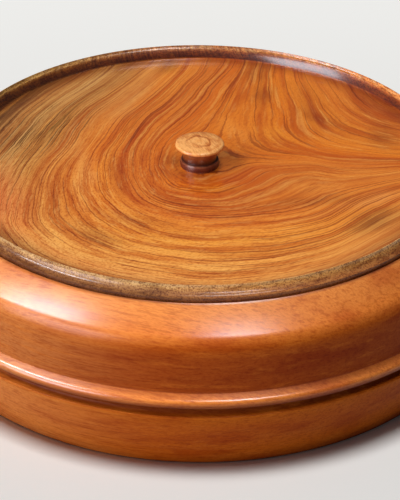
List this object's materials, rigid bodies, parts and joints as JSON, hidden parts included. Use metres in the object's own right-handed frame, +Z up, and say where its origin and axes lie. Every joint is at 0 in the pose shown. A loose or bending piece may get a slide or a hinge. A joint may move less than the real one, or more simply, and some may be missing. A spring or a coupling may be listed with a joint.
{
  "type": "tortilla warmer",
  "caption": "Round turned wooden tortilla warmer: a hollow bowl with a bead round its wall and a sloping shoulder, and a flat rimmed lid with a small mushroom knob that lifts off.",
  "frame": {"origin": "on the table under the middle of the bowl", "axes": "+Z up along the axis that every piece is turned about; the shape is round, so +X and +Y are level and free, and the wood's figure is laid out as seen from -Y"},
  "size_m": [0.2975, 0.2976, 0.093],
  "materials": {
    "bowl_wood": "reddish brown hardwood, turned, stained and lacquered to a satin gloss",
    "lid_wood": "orange brown figured hardwood with olive sapwood, turned and lacquered",
    "knob_wood": "paler hardwood, turned and lacquered",
    "screw_steel": "yellow zinc plated steel wood screw"
  },
  "bodies": {
    "bowl": {"bowl": "bowl_wood"},
    "lid": {"lid": "lid_wood", "knob": "knob_wood", "knob_screw": "screw_steel"}
  },
  "joints": [
    {"name": "lid_lift", "type": "slide", "parent": "bowl", "child": "lid", "axis": [0, 0, 1], "range_m": [0, 0.12]}
  ]
}
